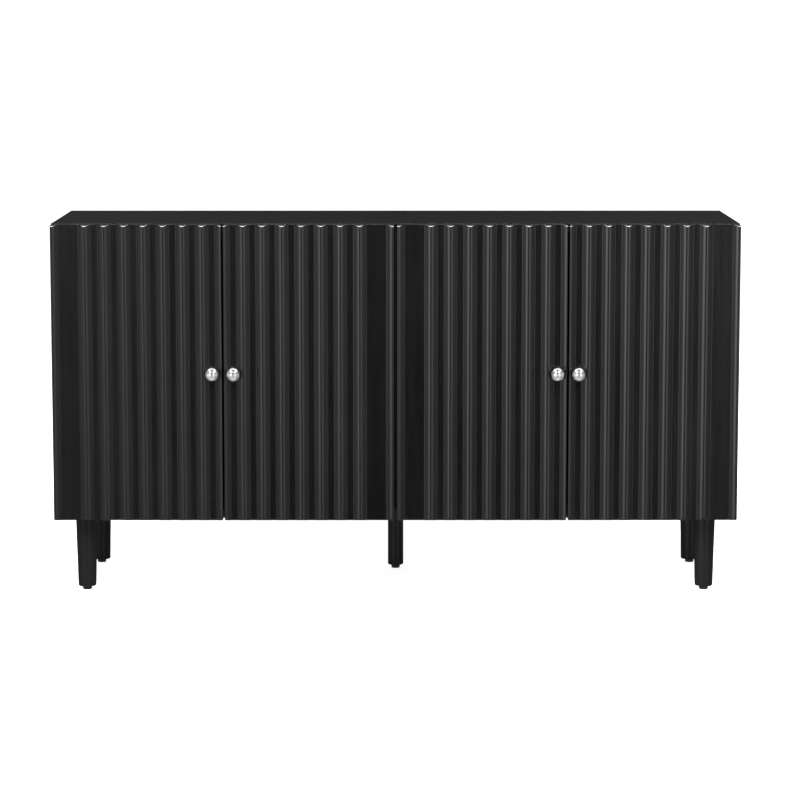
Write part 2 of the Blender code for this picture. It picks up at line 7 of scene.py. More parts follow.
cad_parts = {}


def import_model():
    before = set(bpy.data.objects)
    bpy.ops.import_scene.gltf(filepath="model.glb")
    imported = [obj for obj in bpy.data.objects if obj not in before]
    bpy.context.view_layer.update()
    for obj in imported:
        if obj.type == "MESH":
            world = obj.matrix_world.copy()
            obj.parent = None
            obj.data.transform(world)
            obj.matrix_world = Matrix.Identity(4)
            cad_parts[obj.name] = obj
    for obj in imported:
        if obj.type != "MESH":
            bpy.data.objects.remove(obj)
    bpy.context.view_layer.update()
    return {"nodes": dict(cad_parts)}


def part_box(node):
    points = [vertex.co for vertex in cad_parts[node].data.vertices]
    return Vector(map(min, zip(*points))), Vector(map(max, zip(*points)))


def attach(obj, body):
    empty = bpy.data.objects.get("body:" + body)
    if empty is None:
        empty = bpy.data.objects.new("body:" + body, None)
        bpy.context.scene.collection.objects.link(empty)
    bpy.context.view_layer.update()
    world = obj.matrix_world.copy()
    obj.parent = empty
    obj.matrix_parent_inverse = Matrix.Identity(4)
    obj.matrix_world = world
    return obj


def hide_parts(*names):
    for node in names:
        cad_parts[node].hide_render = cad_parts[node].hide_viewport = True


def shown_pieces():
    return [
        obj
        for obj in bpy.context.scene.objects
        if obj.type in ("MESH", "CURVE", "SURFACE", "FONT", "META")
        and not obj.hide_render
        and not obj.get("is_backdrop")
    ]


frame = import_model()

# Door relief, as in the CAD
DOOR_THICKNESS = 0.022
RIB_DEPTH = 0.007
RIB_PITCH = 0.043
RIB_HALF_WIDTH = 0.014
FULL_RIBS = 7
BORDER_CREST = 0.003
BORDER_STEPS = 6
FREE_EDGE_RADIUS = 0.0015
FREE_EDGE_STEPS = 4
VALLEY_BLEND = 0.0003
WAVE_SHARE = 0.3
SAMPLE_STEP = 0.0007
CREST_ROUND = 0.0062
END_EASE = 0.00004
CORNER_ROUND = 0.0036
ROUND_LEVELS = 12
BACK_EASE = 0.0002

# Hinges: u runs inwards from the door's hinge edge, v backwards from the door's front
CUP_U = 0.0225
CUP_RADIUS = 0.0175
CUP_DEPTH = 0.0113
CUP_SHEET = 0.0008
CUP_CORNER = 0.002
CUP_EASE = 0.00015
CUP_RIM = 0.001
CUP_RIM_RADIUS = 0.020
CUP_CUTTER_LENGTH = 0.03
WING_SHEET = 0.0008
WING_HALF_LENGTH = 0.032
WING_HALF_WIDTH = 0.008
CUP_SCREW_Z = 0.026
ARM_WEB_U = 0.0342
ARM_SCREWS_V = (0.056, 0.078)
PLATE_SCREW_V = 0.062
PLATE_SCREW_Z = 0.016
PLATE_SCREW_SINK = 0.0006
PLATE_TOP = 0.0023
ARM_EASE = 0.00025
FIT_GAP = 0.0003

# Knobs and their screws
KNOB_HALF_DEPTH = 0.013
KNOB_NECK_RADIUS = 0.0045
KNOB_BASE_RADIUS = 0.0070
KNOB_BASE_HEIGHT = 0.002
KNOB_HOLE_RADIUS = 0.0023
KNOB_CUTTER_LENGTH = 0.05
KNOB_CUTTER_LEAD = 0.01
KNOB_SCREW_RADIUS = 0.0020
KNOB_SCREW_BITE = 0.009
THREAD_PITCH = 0.0008

# Screw heads, as (radius, height)
KNOB_SCREW_HEAD = (0.0042, 0.0022)
CUP_SCREW_HEAD = (0.0036, 0.0012)
PLATE_SCREW_HEAD = (0.0040, 0.0012)
ARM_SCREW_HEAD = (0.0037, 0.0016)
LEG_SCREW_HEAD = (0.0036, 0.0018)

# Carcass and its fittings
BOARD_EASE = 0.0004
PIN_RADIUS = 0.0024
PIN_SHOULDERS = (0.0080, 0.0083, 0.0100, 0.0104)
PIN_TIP = 0.82
CAM_RADIUS = 0.0072
CAM_WAIST_RADIUS = 0.0066
CAM_COLLAR = 0.0035
CAM_HEIGHT = 0.0115
CAM_SLOT = (0.0052, 0.0009, 0.0022)
CAM_SINK = 0.0004
CAM_SETBACK = 0.034
CAM_INSET_Y = 0.110
NAIL_PITCH = 0.085
NAIL_SIDE_X = 0.751
NAIL_MIDDLE_X = 0.0045
NAIL_RISE = 0.006
NAIL_TOP_GAP = 0.030
BUMPER_RADIUS = 0.004
BUMPER_REACH = 0.030

# Legs
LEG_FOOT_RADIUS = 0.020
LEG_EASE = 0.0022
LEG_SIDE_LEAST = 0.05
LEG_SIDE_STEPS = 8
LEG_PLATE_THICKNESS = 0.0025
LEG_SCREW_REACH = 0.021
GLIDE_STEM_RADIUS = 0.003
GLIDE_HOLLOW = 0.0006

# Light in the room: direction in degrees, with 0 behind the camera and positive to its right, and strength
ROOM_LIGHT = (
    (-180, 0.03),
    (-135, 0.12),
    (-105, 0.30),
    (-70, 0.55),
    (-40, 0.80),
    (-11, 0.95),
    (-8, 0.01),
    (7.5, 0.01),
    (10.5, 0.9),
    (40, 1.0),
    (48, 0.45),
    (80, 0.35),
    (130, 0.12),
    (180, 0.03),
)
# The same by height, as the upward part of the direction, and the light that is there all round
ROOM_HEIGHT = ((-1, 0.25), (-0.45, 0.60), (-0.22, 0.72), (-0.05, 1.30), (0.15, 0.6), (1, 0.3))
ROOM_CEILING = ((-1, 0.55), (-0.7, 0.22), (-0.28, 0.0), (0.12, 0.0), (0.35, 0.30), (1, 0.2))

# Softboxes and floor
NARROW_SPREAD = 36
LEFT_POWER = 2.2
RIGHT_POWER = 0.7
HIGH_POWER = 37.1
OVERHEAD_POWER = 510
REAR_POWER = 18
FLOOR_RINGS = (1.5, 3.0, 6.0, 12.0, 25.0, 60.0, 300.0)
FLOOR_STEPS = 64
FLOOR_GLOW = 0.9
FLOOR_GLOW_START = 1.6
FLOOR_GLOW_FULL = 6.0

# Camera
CAMERA_PLACE = (0.006, -6.036, 1.308)
CAMERA_PITCH = 6.74
CAMERA_YAW = -0.04
CAMERA_LENS = 120.2
CAMERA_SENSOR = 36.0
CAMERA_SHIFT = -0.1
CAMERA_REACH = 600

Z_AXIS = Vector((0, 0, 1))
CARCASS = "carcass"
# The way from each door's hinge edge to its free edge, along X
DOOR_SIDES = {"outer_left": 1, "inner_left": -1, "inner_right": 1, "outer_right": -1}


# Mesh tools

def new_mesh(name, verts, faces):
    mesh = bpy.data.meshes.new(name)
    mesh.from_pydata(verts, [], faces)
    mesh.validate()
    return mesh


def smoothed(mesh, angle=35.0):
    mesh.shade_smooth()
    mesh.set_sharp_from_angle(angle=math.radians(angle))
    return mesh


def rounded(points, radius, segments=4):
    """The polyline with each inner corner replaced by an arc, where its neighbours leave room."""
    made = [points[0]]
    for before, corner, after in zip(points, points[1:], points[2:]):
        here = Vector(corner)
        back, on = Vector(before) - here, Vector(after) - here
        turn = back.angle(on, math.pi)
        if turn > math.radians(165):
            made.append(corner)
            continue
        reach = min(radius / math.tan(turn / 2), back.length * 0.45, on.length * 0.45)
        start, end = here + back.normalized() * reach, here + on.normalized() * reach
        for i in range(segments + 1):
            t = i / segments
            point = start * (1 - t) ** 2 + here * 2 * t * (1 - t) + end * t**2
            made.append((point.x, point.y))
    made.append(points[-1])
    return made


def turned(profile, steps=48):
    """A closed solid: (radius, height) points from its top, down its outer side, turned about Z."""
    verts, faces, rings = [], [], []
    for radius, height in profile:
        if radius < 1e-6:
            rings.append([len(verts)] * steps)
            verts.append((0, 0, height))
            continue
        rings.append(range(len(verts), len(verts) + steps))
        for i in range(steps):
            angle = 2 * math.pi * i / steps
            verts.append((radius * math.cos(angle), radius * math.sin(angle), height))
    for upper, lower in zip(rings, rings[1:]):
        for i in range(steps):
            j = (i + 1) % steps
            corners = [upper[i], lower[i], lower[j], upper[j]]
            face = [c for k, c in enumerate(corners) if c != corners[k - 1]]
            if len(face) > 2:
                faces.append(face)
    return new_mesh("turned", verts, faces)


def slab(outline, low, high):
    """A flat outline in XY between two heights."""
    count = len(outline)
    verts = [(x, y, low) for x, y in outline] + [(x, y, high) for x, y in outline]
    faces = [list(range(count))[::-1], list(range(count, 2 * count))]
    for i in range(count):
        j = (i + 1) % count
        faces.append([i, j, count + j, count + i])
    return new_mesh("slab", verts, faces)


def block(low, high):
    (x0, y0, z0), (x1, y1, z1) = low, high
    return slab([(x0, y0), (x1, y0), (x1, y1), (x0, y1)], z0, z1)


def moved(mesh, matrix):
    copy = mesh.copy()
    copy.transform(matrix)
    return copy


def facing(position, direction):
    """The matrix that stands a Z-up mesh on a surface, along the direction."""
    turn = Vector(direction).to_track_quat("Z", "Y").to_matrix().to_4x4()
    return Matrix.Translation(Vector(position)) @ turn


def joined(meshes):
    cage = bmesh.new()
    for mesh in meshes:
        cage.from_mesh(mesh)
    made = bpy.data.meshes.new("joined")
    cage.to_mesh(made)
    cage.free()
    return made


def cut(mesh, cutters, solver="EXACT"):
    """The mesh with the cutters taken out of it."""
    body = bpy.data.objects.new("body", mesh)
    tool = bpy.data.objects.new("tool", joined(cutters))
    for obj in (body, tool):
        bpy.context.scene.collection.objects.link(obj)
    modifier = body.modifiers.new("cut", "BOOLEAN")
    modifier.operation = "DIFFERENCE"
    modifier.solver = solver
    modifier.object = tool
    bpy.context.view_layer.update()
    graph = bpy.context.evaluated_depsgraph_get()
    made = bpy.data.meshes.new_from_object(body.evaluated_get(graph), depsgraph=graph)
    for obj in (body, tool):
        bpy.data.objects.remove(obj, do_unlink=True)
    return made


def eased(obj, width, segments=3, limit=50.0, weld=False):
    """Small round edges, and normals that keep the flats flat."""
    if weld:
        obj.modifiers.new("weld", "WELD").merge_threshold = 0.00001
    if width:
        bevel = obj.modifiers.new("ease", "BEVEL")
        bevel.width = width
        bevel.segments = segments
        bevel.limit_method = "ANGLE"
        bevel.angle_limit = math.radians(limit)
        bevel.use_clamp_overlap = True
    normals = obj.modifiers.new("normals", "WEIGHTED_NORMAL")
    normals.keep_sharp = False
    normals.weight = 80


def piece(name, mesh, material, body, nodes=()):
    obj = bpy.data.objects.new(name, mesh)
    bpy.context.scene.collection.objects.link(obj)
    mesh.materials.clear()
    mesh.materials.append(material)
    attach(obj, body)
    if nodes:
        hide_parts(*nodes)
    return obj


# Materials

class Finish:
    """A Principled material whose colour, roughness and bump come from noise in the object's own space."""

    def __init__(self, name, metallic=0.0, specular=0.5):
        self.material = bpy.data.materials.new(name)
        self.material.use_nodes = True
        self.tree = self.material.node_tree
        self.shader = self.tree.nodes["Principled BSDF"]
        self.shader.inputs["Metallic"].default_value = metallic
        self.shader.inputs["Specular IOR Level"].default_value = specular
        self.coords = self.tree.nodes.new("ShaderNodeTexCoord").outputs["Object"]

    def node(self, kind, **inputs):
        made = self.tree.nodes.new(kind)
        for key, value in inputs.items():
            self.feed(made.inputs[key.replace("_", " ")], value)
        return made

    def feed(self, socket, value):
        if isinstance(value, bpy.types.NodeSocket):
            self.tree.links.new(value, socket)
        else:
            socket.default_value = value

    def stretched(self, scale, turn=(0, 0, 0)):
        mapping = self.node("ShaderNodeMapping", Vector=self.coords, Scale=scale, Rotation=turn)
        return mapping.outputs["Vector"]

    def noise(self, scale, detail=3.0, rough=0.55, where=None, distortion=0.0):
        made = self.node(
            "ShaderNodeTexNoise",
            Vector=where or self.coords,
            Scale=scale,
            Detail=detail,
            Roughness=rough,
            Distortion=distortion,
        )
        return made.outputs["Fac"]

    def span(self, value, low, high, start=0.3, end=0.7):
        made = self.node("ShaderNodeMapRange", Value=value)
        made.inputs["From Min"].default_value = start
        made.inputs["From Max"].default_value = end
        made.inputs["To Min"].default_value = low
        made.inputs["To Max"].default_value = high
        return made.outputs["Result"]

    def maths(self, operation, a, b):
        made = self.tree.nodes.new("ShaderNodeMath")
        made.operation = operation
        self.feed(made.inputs[0], a)
        self.feed(made.inputs[1], b)
        return made.outputs[0]

    def blend(self, a, a_share, b, b_share):
        return self.maths("ADD", self.maths("MULTIPLY", a, a_share), self.maths("MULTIPLY", b, b_share))

    def mixed(self, factor, a, b):
        made = self.tree.nodes.new("ShaderNodeMix")
        made.data_type = "RGBA"
        self.feed(made.inputs["Factor"], factor)
        for socket, value in ((made.inputs[6], a), (made.inputs[7], b)):
            self.feed(socket, value if isinstance(value, bpy.types.NodeSocket) else (*value, 1.0))
        return made.outputs[2]

    def worn(self, colour, tone, start, end, most):
        """Lets the tone through on the convex edges, more where a noise allows it."""
        edge = self.tree.nodes.new("ShaderNodeNewGeometry").outputs["Pointiness"]
        mask = self.span(edge, 0.0, most, start, end)
        patches = self.span(self.noise(60.0, 4.0), 0.3, 1.0, 0.35, 0.6)
        return self.mixed(self.maths("MULTIPLY", mask, patches), colour, tone)

    def done(self, colour, roughness, height, depth):
        self.feed(self.shader.inputs["Base Color"], colour)
        self.feed(self.shader.inputs["Roughness"], roughness)
        bump = self.node("ShaderNodeBump", Height=height, Distance=depth)
        self.feed(self.shader.inputs["Normal"], bump.outputs["Normal"])
        return self.material


def lacquer(name, tone, second, roughness, grain, peel_depth, specular=0.5):
    """Sprayed black satin lacquer: faint clouds, fine brush-like streaks along the grain, orange peel."""
    finish = Finish(name, specular=specular)
    clouds = finish.noise(5.0, 3.0)
    streaks = finish.noise(90.0, 4.0, 0.6, finish.stretched(grain))
    peel = finish.noise(420.0, 2.0, 0.5)
    specks = finish.noise(1500.0, 1.0)
    tint = finish.blend(clouds, 0.6, streaks, 0.4)
    colour = finish.mixed(finish.span(tint, 0.0, 1.0, 0.35, 0.65), tone, second)
    colour = finish.worn(colour, [2.2 * c for c in second], 0.53, 0.62, 0.5)
    dull = finish.blend(streaks, 0.7, specks, 0.3)
    shine = finish.span(dull, roughness[0], roughness[1], 0.35, 0.65)
    height = finish.maths("ADD", peel, finish.maths("MULTIPLY", streaks, 0.35))
    return finish.done(colour, shine, height, peel_depth)


def board_foil(name, tone, second, roughness, grain, specular):
    """Foil on board with a faint pressed wood grain."""
    finish = Finish(name, specular=specular)
    where = finish.stretched(grain)
    rings = finish.noise(26.0, 6.0, 0.65, where, 0.8)
    pores = finish.noise(240.0, 2.0, 0.5, where)
    clouds = finish.noise(7.0, 2.0)
    mark = finish.blend(rings, 0.7, clouds, 0.3)
    colour = finish.mixed(finish.span(mark, 0.0, 1.0, 0.35, 0.65), tone, second)
    colour = finish.worn(colour, [1.8 * c for c in second], 0.53, 0.62, 0.6)
    shine = finish.span(pores, roughness[0], roughness[1])
    height = finish.maths("ADD", finish.span(pores, 0.0, 1.0, 0.35, 0.5), rings)
    return finish.done(colour, shine, height, 0.00003)


def hardboard(name, tone, second):
    """Thin black-faced hardboard: fibres in every direction and a slight mesh on its face."""
    finish = Finish(name)
    fibres = finish.noise(320.0, 5.0, 0.7, finish.stretched((1, 1, 0.35), (0, 0.6, 0)), 1.5)
    blotches = finish.noise(14.0, 4.0, 0.6)
    mesh_x = finish.node("ShaderNodeTexWave", Vector=finish.coords, Scale=140.0, Distortion=1.0)
    colour = finish.mixed(finish.span(blotches, 0.0, 1.0, 0.35, 0.65), tone, second)
    colour = finish.mixed(finish.span(fibres, 0.0, 0.45, 0.5, 0.75), colour, [1.9 * c for c in second])
    shine = finish.span(fibres, 0.5, 0.68)
    weave = finish.maths("MULTIPLY", mesh_x.outputs["Fac"], 0.25)
    return finish.done(colour, shine, finish.maths("ADD", fibres, weave), 0.00008)


def metal(name, tone, second, roughness, brush, depth, metallic=1.0):
    """Metal with fine lines in one direction and faint clouds."""
    finish = Finish(name, metallic=metallic)
    lines = finish.noise(520.0, 3.0, 0.6, finish.stretched(brush, (0.2, 0.1, 0.15)))
    scuffs = finish.noise(45.0, 5.0, 0.7, None, 1.2)
    colour = finish.mixed(finish.span(scuffs, 0.0, 1.0, 0.35, 0.7), tone, second)
    dull = finish.blend(lines, 0.55, scuffs, 0.45)
    shine = finish.span(dull, roughness[0], roughness[1], 0.35, 0.65)
    return finish.done(colour, shine, lines, depth)


def plastic(name, tone, second, roughness):
    """Moulded plastic with a fine spark-eroded texture."""
    finish = Finish(name)
    texture = finish.noise(1400.0, 2.0)
    clouds = finish.noise(60.0, 3.0)
    colour = finish.mixed(finish.span(clouds, 0.0, 1.0, 0.35, 0.65), tone, second)
    colour = finish.worn(colour, [2.0 * c for c in second], 0.55, 0.7, 0.5)
    shine = finish.span(texture, roughness[0], roughness[1])
    return finish.done(colour, shine, texture, 0.00004)


DOOR_LACQUER = lacquer(
    "door_lacquer",
    tone=(0.0010, 0.0010, 0.0011),
    second=(0.0016, 0.0016, 0.0018),
    roughness=(0.15, 0.20),
    grain=(1, 1, 0.04),
    peel_depth=0.000003,
)
TOP_LACQUER = lacquer(
    "top_lacquer",
    tone=(0.0015, 0.0015, 0.0017),
    second=(0.0023, 0.0023, 0.0025),
    roughness=(0.12, 0.16),
    grain=(0.04, 1, 1),
    peel_depth=0.000004,
)
LEG_LACQUER = lacquer(
    "leg_lacquer",
    tone=(0.0022, 0.0022, 0.0024),
    second=(0.0034, 0.0034, 0.0036),
    roughness=(0.30, 0.38),
    grain=(1, 1, 0.05),
    peel_depth=0.00001,
    specular=0.2,
)
INNER_FOIL = board_foil(
    "inner_foil",
    tone=(0.008, 0.008, 0.0083),
    second=(0.014, 0.014, 0.0145),
    roughness=(0.42, 0.55),
    grain=(0.06, 1, 1),
    specular=0.15,
)
# Painted shade: the centre partition's foil is made several times darker than the other inner boards, so the
# gap between the inner doors reads as deep shade; its low shine is the board's own.
MATT_PAINTED_SHADE_FOIL = board_foil(
    "matt_foil",
    tone=(0.002, 0.002, 0.0021),
    second=(0.004, 0.004, 0.0042),
    roughness=(0.55, 0.68),
    grain=(1, 1, 0.06),
    specular=0.08,
)
BACK_HARDBOARD = hardboard("back_hardboard", (0.017, 0.0165, 0.016), (0.027, 0.0255, 0.024))
CHROME = metal(
    "polished_chrome",
    tone=(0.80, 0.80, 0.81),
    second=(0.72, 0.72, 0.74),
    roughness=(0.09, 0.15),
    brush=(1, 1, 0.2),
    depth=0.000001,
    metallic=0.88,
)
NICKEL = metal(
    "nickel_steel",
    tone=(0.66, 0.65, 0.63),
    second=(0.55, 0.54, 0.52),
    roughness=(0.20, 0.34),
    brush=(1, 0.05, 1),
    depth=0.000006,
)
ZINC = metal(
    "cast_zinc",
    tone=(0.60, 0.60, 0.61),
    second=(0.48, 0.48, 0.49),
    roughness=(0.32, 0.48),
    brush=(1, 1, 1),
    depth=0.00003,
)
PLASTIC = plastic("moulded_plastic", (0.006, 0.006, 0.0063), (0.010, 0.010, 0.0105), (0.50, 0.64))
RUBBER = plastic("bumper_rubber", (0.045, 0.045, 0.046), (0.065, 0.065, 0.066), (0.55, 0.7))


# Doors

def relief(u, width):
    """The rib's height over the valley at a place across the door: an arc, slimmed towards a wave."""
    radius = (RIB_HALF_WIDTH**2 + RIB_DEPTH**2) / (2 * RIB_DEPTH)
    crests = [BORDER_CREST, width] + [width - i * RIB_PITCH for i in range(1, FULL_RIBS + 1)]
    offset = min(abs(u - crest) for crest in crests)
    if offset >= radius:
        return 0.0
    arc_height = RIB_DEPTH - radius + math.sqrt(radius**2 - offset**2)
    if offset < RIB_HALF_WIDTH:
        wave = RIB_DEPTH * (0.5 + 0.5 * math.cos(math.pi * offset / RIB_HALF_WIDTH))
        arc_height += WAVE_SHARE * (wave - arc_height)
    spread = max(VALLEY_BLEND - abs(arc_height), 0.0)
    return max(arc_height, 0.0) + spread**2 / (4 * VALLEY_BLEND)


def rim(distance, radius):
    """How far a rounded edge has drawn in, at a distance from the edge's plane."""
    left = max(radius - distance, 0.0)
    return radius - math.sqrt(radius**2 - left**2)


def door_front(width):
    """The front of the door's plan from the hinge edge to the free edge, as (u, v)."""
    points = []
    for i in range(BORDER_STEPS + 1):
        angle = math.pi / 2 * i / BORDER_STEPS
        points.append((BORDER_CREST * (1 - math.cos(angle)), BORDER_CREST * (1 - math.sin(angle))))
    last = width - FREE_EDGE_RADIUS
    count = round((last - BORDER_CREST) / SAMPLE_STEP)
    for i in range(1, count + 1):
        u = BORDER_CREST + (last - BORDER_CREST) * i / count
        points.append((u, RIB_DEPTH - relief(u, width)))
    foot = points[-1][1]
    for i in range(1, FREE_EDGE_STEPS + 1):
        angle = math.pi / 2 * i / FREE_EDGE_STEPS
        across, down = FREE_EDGE_RADIUS * math.sin(angle), FREE_EDGE_RADIUS * (1 - math.cos(angle))
        points.append((last + across, foot + down))
    return points


def door_mesh(width, height):
    """The ribbed door in (u, v, height) with its ends and corners rounded, before its holes."""
    front = door_front(width)
    outline = [(0.0, DOOR_THICKNESS)] + front + [(width, DOOR_THICKNESS)]
    last = len(outline) - 1
    angles = [math.pi / 2 * i / ROUND_LEVELS for i in range(ROUND_LEVELS + 1)]
    distances = [CREST_ROUND * (1 - math.cos(angle)) for angle in angles]
    levels = [(-height / 2 + d, d) for d in distances]
    levels += [(height / 2 - d, d) for d in reversed(distances)]
    verts, faces = [], []
    for z, distance in levels:
        plane = rim(distance, CREST_ROUND)
        eased_by = rim(distance, END_EASE)
        inset = rim(distance, CORNER_ROUND)
        for i, (u, v) in enumerate(outline):
            side = 1 if u < width / 2 else -1
            near = max(1 - min(u, width - u) / (2 * CORNER_ROUND), 0.0)
            v_here = v if i in (0, last) else min(max(v, plane) + eased_by, DOOR_THICKNESS - END_EASE)
            verts.append((u + side * inset * near, v_here, z))
    count = len(outline)
    for row in range(len(levels) - 1):
        for i in range(count):
            j = (i + 1) % count
            a, b = row * count, (row + 1) * count
            faces.append([a + i, a + j, b + j, b + i])
    faces.append(list(range(count))[::-1])
    top = (len(levels) - 1) * count
    faces.append(list(range(top, top + count)))
    return new_mesh("door", verts, faces)


def rod(radius, length, steps=48):
    return turned([(0, length), (radius, length), (radius, 0), (0, 0)], steps)


def cross_recess(reach, half_width, depth, top):
    """Two crossed blocks that cut a screw's drive."""
    low, high = top - depth, top + depth
    return [
        block((-reach, -half_width, low), (reach, half_width, high)),
        block((-half_width, -reach, low), (half_width, reach, high)),
    ]


def screw_mesh(head_radius, head_height, shank_radius=None, shank=0.0):
    """A pan-head screw with a cross drive: its head stands on Z = 0."""
    top = [(0, head_height), (head_radius * 0.62, head_height * 0.94), (head_radius, head_height * 0.42)]
    profile = rounded(top + [(head_radius, 0.0), (0, 0)], head_height * 0.3)
    if shank_radius:
        profile = profile[:-1] + [(shank_radius, 0.0)]
        turns = int(shank / THREAD_PITCH)
        for i in range(1, turns):
            ridge = shank_radius * (0.86 if i % 2 else 1.0)
            profile.append((ridge, -shank * i / turns))
        profile += [(shank_radius * 0.8, -shank), (0, -shank)]
    head = turned(profile, 32)
    return cut(head, cross_recess(head_radius * 0.58, head_radius * 0.12, head_height * 0.6, head_height))


def knob_mesh(projection, radius, base_radius):
    """A polished ball on a slim neck and a small round base. It stands on Z = 0."""
    centre = projection - KNOB_HALF_DEPTH
    neck_angle = math.pi - math.asin(KNOB_NECK_RADIUS / radius)
    profile = []
    for i in range(33):
        angle = neck_angle * i / 32
        profile.append((radius * math.sin(angle), centre + KNOB_HALF_DEPTH * math.cos(angle)))
    foot = rounded(
        [
            profile[-1],
            (KNOB_NECK_RADIUS, KNOB_BASE_HEIGHT * 1.5),
            (base_radius * 0.85, KNOB_BASE_HEIGHT),
            (base_radius, KNOB_BASE_HEIGHT * 0.7),
            (base_radius, 0.0),
            (0.0, 0.0),
        ],
        0.0006,
    )
    return turned(profile + foot[1:], 64)


def stadium(half_width, far, near, steps=12):
    """A wing's outline from its round end back to the cup."""
    points = []
    for i in range(steps + 1):
        angle = math.pi * i / steps
        points.append((half_width * math.cos(angle), far - half_width + half_width * math.sin(angle)))
    return points + [(-half_width, near), (half_width, near)]


def cup_mesh():
    """A pressed hinge cup with a rolled rim and two screw wings. Its rim lies on Z = 0, the cup below."""
    outer = CUP_RADIUS - FIT_GAP
    floor = FIT_GAP - CUP_DEPTH
    bowl = [
        (0.0, floor + CUP_SHEET),
        (outer - CUP_SHEET - CUP_CORNER, floor + CUP_SHEET),
        (outer - CUP_SHEET, floor + CUP_SHEET + CUP_CORNER),
        (outer - CUP_SHEET, CUP_RIM),
        (CUP_RIM_RADIUS, CUP_RIM),
        (CUP_RIM_RADIUS, 0.0),
        (outer, 0.0),
        (outer, floor + CUP_CORNER),
        (outer - CUP_CORNER, floor),
        (0.0, floor),
    ]
    meshes = [turned(rounded(bowl, 0.0006), 64)]
    for turn in (0.0, math.pi):
        wing = slab(stadium(WING_HALF_WIDTH, WING_HALF_LENGTH, CUP_RADIUS), 0.0001, WING_SHEET)
        meshes.append(moved(wing, Matrix.Rotation(turn, 4, "Z")))
    return joined(meshes)


def doors():
    left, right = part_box("outer_left_door"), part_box("inner_right_door")
    width, height = (left[1] - left[0]).x, (left[1] - left[0]).z
    blank = door_mesh(width, height)
    knob_low, knob_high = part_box("outer_left_knob")
    knob_u = (knob_low.x + knob_high.x) / 2 - left[0].x
    knob = smoothed(
        knob_mesh(knob_high.y - knob_low.y, (knob_high.x - knob_low.x) / 2, KNOB_BASE_RADIUS)
    )
    hinge_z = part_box("outer_left_upper_hinge_cup")
    reach = (hinge_z[0].z + hinge_z[1].z) / 2 - (left[0].z + left[1].z) / 2
    back = Vector((0, 1, 0))
    through = rod(KNOB_HOLE_RADIUS, KNOB_CUTTER_LENGTH, 16)
    holes = [moved(through, facing((knob_u, -KNOB_CUTTER_LEAD, 0), back))]
    for level in (-reach, reach):
        seat = facing((CUP_U, DOOR_THICKNESS - CUP_DEPTH, level), back)
        holes.append(moved(rod(CUP_RADIUS, CUP_CUTTER_LENGTH), seat))
    blank = cut(blank, holes, "MANIFOLD")
    cup, cup_screw = smoothed(cup_mesh()), smoothed(screw_mesh(*CUP_SCREW_HEAD))
    shank = DOOR_THICKNESS - RIB_DEPTH + KNOB_SCREW_BITE
    knob_screw = smoothed(screw_mesh(*KNOB_SCREW_HEAD, KNOB_SCREW_RADIUS, shank))
    for name, side in DOOR_SIDES.items():
        low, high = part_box(f"{name}_door")
        body = f"{name}_door_body"
        origin = Vector((low.x if side > 0 else high.x, low.y, (low.z + high.z) / 2))
        place = Matrix.Translation(origin)
        if side < 0:
            place = place @ Matrix.Rotation(math.pi, 4, "Y")
        panel = piece(
            f"{name}_ribbed_door", smoothed(moved(blank, place)), DOOR_LACQUER, body,
            [f"{name}_door"],
        )
        eased(panel, BACK_EASE, 2, 60.0)
        base = (knob_u, RIB_DEPTH - FIT_GAP, 0)
        piece(
            f"{name}_ball_knob", moved(knob, place @ facing(base, -back)), CHROME, body,
            [f"{name}_knob"],
        )
        seat = (knob_u, DOOR_THICKNESS + FIT_GAP, 0)
        piece(
            f"{name}_knob_fixing", moved(knob_screw, place @ facing(seat, back)), NICKEL, body,
            [f"{name}_knob_screw"],
        )
        for level, z in (("lower", -side * reach), ("upper", side * reach)):
            stand = place @ facing((CUP_U, DOOR_THICKNESS + FIT_GAP, z), back)
            shown = piece(
                f"{name}_{level}_cup", moved(cup, stand), NICKEL, body,
                [f"{name}_{level}_hinge_cup"],
            )
            eased(shown, CUP_EASE, 2, 60.0)
            screws = []
            for end in (-1, 1):
                spot = (CUP_U, DOOR_THICKNESS + FIT_GAP + WING_SHEET, z + end * CUP_SCREW_Z)
                screws.append(moved(cup_screw, place @ facing(spot, back)))
            piece(f"{name}_{level}_cup_screws", smoothed(joined(screws)), NICKEL, body)


# Hinge arms

def hinge_arms():
    plate_screw = smoothed(screw_mesh(*PLATE_SCREW_HEAD))
    arm_screw = smoothed(screw_mesh(*ARM_SCREW_HEAD))
    for name, side in DOOR_SIDES.items():
        low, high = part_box(f"{name}_door")
        edge = low.x if side > 0 else high.x
        out = Vector((side, 0, 0))
        for level in ("lower", "upper"):
            node = f"{name}_{level}_hinge_arm"
            arm = frame["nodes"][node]
            dress(arm, NICKEL)
            eased(arm, ARM_EASE, 2, 50.0, weld=True)
            arm_low, arm_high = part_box(node)
            wall = arm_low.x if side > 0 else arm_high.x
            middle = (arm_low.z + arm_high.z) / 2
            heads = []
            for end in (-1, 1):
                seat = wall + side * (PLATE_TOP - PLATE_SCREW_SINK)
                spot = (seat, low.y + PLATE_SCREW_V, middle + end * PLATE_SCREW_Z)
                heads.append(moved(plate_screw, facing(spot, out)))
            for v in ARM_SCREWS_V:
                spot = (edge + side * ARM_WEB_U, low.y + v, middle)
                heads.append(moved(arm_screw, facing(spot, out)))
            piece(f"{name}_{level}_arm_screws", smoothed(joined(heads)), NICKEL, CARCASS)


# Carcass

def dress(obj, material):
    obj.data.materials.clear()
    obj.data.materials.append(material)


def carcass():
    looks = {
        "top_panel": TOP_LACQUER,
        "left_side_panel": DOOR_LACQUER,
        "right_side_panel": DOOR_LACQUER,
        "bottom_panel": INNER_FOIL,
        "left_shelf": INNER_FOIL,
        "right_shelf": INNER_FOIL,
        # The partition takes the darkened foil: painted shade in the gap between the inner doors.
        "centre_partition": MATT_PAINTED_SHADE_FOIL,
        "left_back_panel": BACK_HARDBOARD,
        "right_back_panel": BACK_HARDBOARD,
    }
    for node, material in looks.items():
        obj = frame["nodes"][node]
        dress(obj, material)
        eased(obj, BOARD_EASE, 2, 60.0, weld=True)


